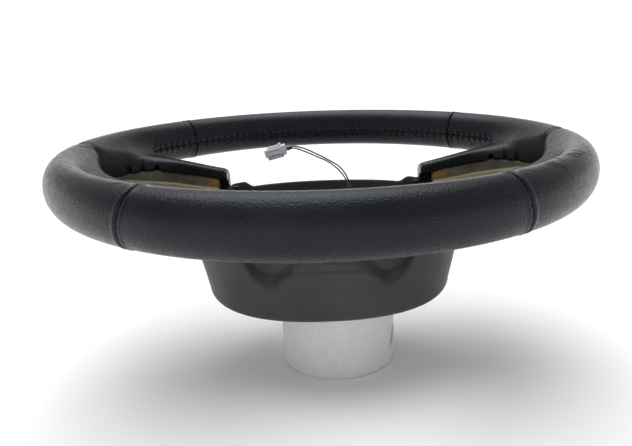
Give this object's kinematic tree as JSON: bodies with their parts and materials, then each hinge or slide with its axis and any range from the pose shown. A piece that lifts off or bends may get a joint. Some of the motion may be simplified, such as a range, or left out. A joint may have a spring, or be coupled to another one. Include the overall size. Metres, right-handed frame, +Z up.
{
  "type": "steering wheel",
  "caption": "Leather-covered steering wheel with open padded spokes, a deep rear cover and a bare hub with a standing lead, set on a short card tube.",
  "frame": {"origin": "on the surface the card tube stands on, under the centre of the rim", "axes": "+Z up along the wheel's axis towards the driver, +Y to 12 o'clock, +X to 3 o'clock"},
  "size_m": [0.3764, 0.3764, 0.1752],
  "materials": {
    "leather": "satin, fine grain, worn",
    "thread": "waxed thread",
    "foam": "matt, aged",
    "cast_alloy": "as cast",
    "bright_steel": "zinc plated",
    "black_plastic": "satin, fine texture",
    "grey_plastic": "satin",
    "brown_wire": "satin",
    "grey_wire": "satin",
    "card": "matt card",
    "paper": "matt paper"
  },
  "bodies": {
    "stand": {"stand_tube": "card", "stand_paper": "paper"},
    "wheel": {"armature_casting": "cast_alloy", "splined_boss": "bright_steel", "foam_top": "foam", "foam_bottom": "foam", "foam_right_rim": "foam", "foam_right_pad_upper": "foam", "foam_right_pad_lower": "foam", "foam_left_rim": "foam", "foam_left_pad_upper": "foam", "foam_left_pad_lower": "foam", "leather_top": "leather", "leather_bottom": "leather", "leather_right": "leather", "leather_left": "leather", "lacing_top": "thread", "lacing_bottom": "thread", "lacing_right_upper": "thread", "lacing_left_upper": "thread", "lacing_right_lower": "thread", "lacing_left_lower": "thread", "rear_cover": "black_plastic", "cover_screw_1": "bright_steel", "cover_screw_2": "bright_steel", "cover_screw_3": "bright_steel", "cover_screw_4": "bright_steel", "screw_case_right": "black_plastic", "screw_case_left": "black_plastic", "terminal_block": "black_plastic", "terminal_screw": "bright_steel", "wire_brown": "brown_wire", "wire_grey": "grey_wire", "lead_sleeve": "black_plastic", "connector_housing": "grey_plastic", "connector_latch": "grey_plastic"},
    "right_airbag_screw": {"airbag_screw_right": "bright_steel"},
    "left_airbag_screw": {"airbag_screw_left": "bright_steel"},
    "right_lid": {"access_lid_right": "black_plastic"},
    "left_lid": {"access_lid_left": "black_plastic"}
  },
  "joints": [
    {"name": "wheel_lift", "type": "slide", "parent": "stand", "child": "wheel", "axis": [0, 0, 1], "range_m": [0, 0.06]},
    {"name": "right_airbag_screw_slide", "type": "slide", "parent": "wheel", "child": "right_airbag_screw", "axis": [1, 0, 0], "range_m": [0, 0.008]},
    {"name": "left_airbag_screw_slide", "type": "slide", "parent": "wheel", "child": "left_airbag_screw", "axis": [-1, 0, 0], "range_m": [0, 0.008]},
    {"name": "right_lid_slide", "type": "slide", "parent": "wheel", "child": "right_lid", "axis": [1, 0, 0], "range_m": [0, 0.015]},
    {"name": "left_lid_slide", "type": "slide", "parent": "wheel", "child": "left_lid", "axis": [-1, 0, 0], "range_m": [0, 0.015]}
  ]
}
